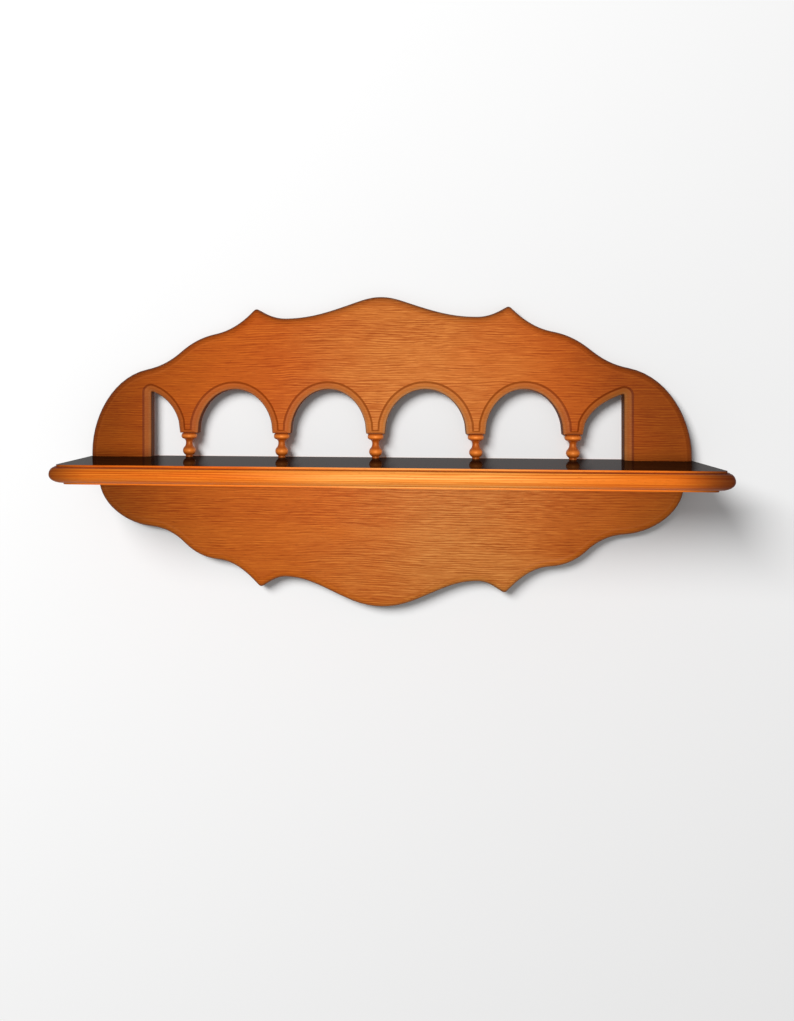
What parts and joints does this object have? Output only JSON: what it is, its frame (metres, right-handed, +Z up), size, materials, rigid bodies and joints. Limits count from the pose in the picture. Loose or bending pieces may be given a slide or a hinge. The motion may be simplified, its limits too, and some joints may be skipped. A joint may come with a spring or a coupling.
{
  "type": "wall plate rack",
  "caption": "Wall-hung wooden plate rack: moulded shelf between scalloped crest and apron boards, with an arched gallery on turned spindles.",
  "frame": {"origin": "midway between the entry holes of the two keyhole hangers, on the wall plane", "axes": "+X to the right as seen from the front, +Y into the wall, +Z up; the shelf's top is 122 mm below the origin"},
  "size_m": [0.778, 0.14, 0.3975],
  "materials": {
    "oak_boards": "orange-brown stained oak under satin lacquer",
    "oak_shelf": "orange-brown stained oak under gloss lacquer, dark on its top",
    "oak_spindles": "orange stained turned oak under gloss lacquer",
    "beech_dowels": "plain beech",
    "zinc_steel": "bright zinc-plated steel"
  },
  "bodies": {
    "root": {"crest_board": "oak_boards", "apron_board": "oak_boards", "shelf_board": "oak_shelf", "spindle_1": "oak_spindles", "spindle_2": "oak_spindles", "spindle_3": "oak_spindles", "spindle_4": "oak_spindles", "spindle_5": "oak_spindles", "leg_dowels": "beech_dowels", "apron_dowels": "beech_dowels", "leg_screws": "zinc_steel", "left_hanger": "zinc_steel", "right_hanger": "zinc_steel", "hanger_screws": "zinc_steel"}
  },
  "joints": []
}
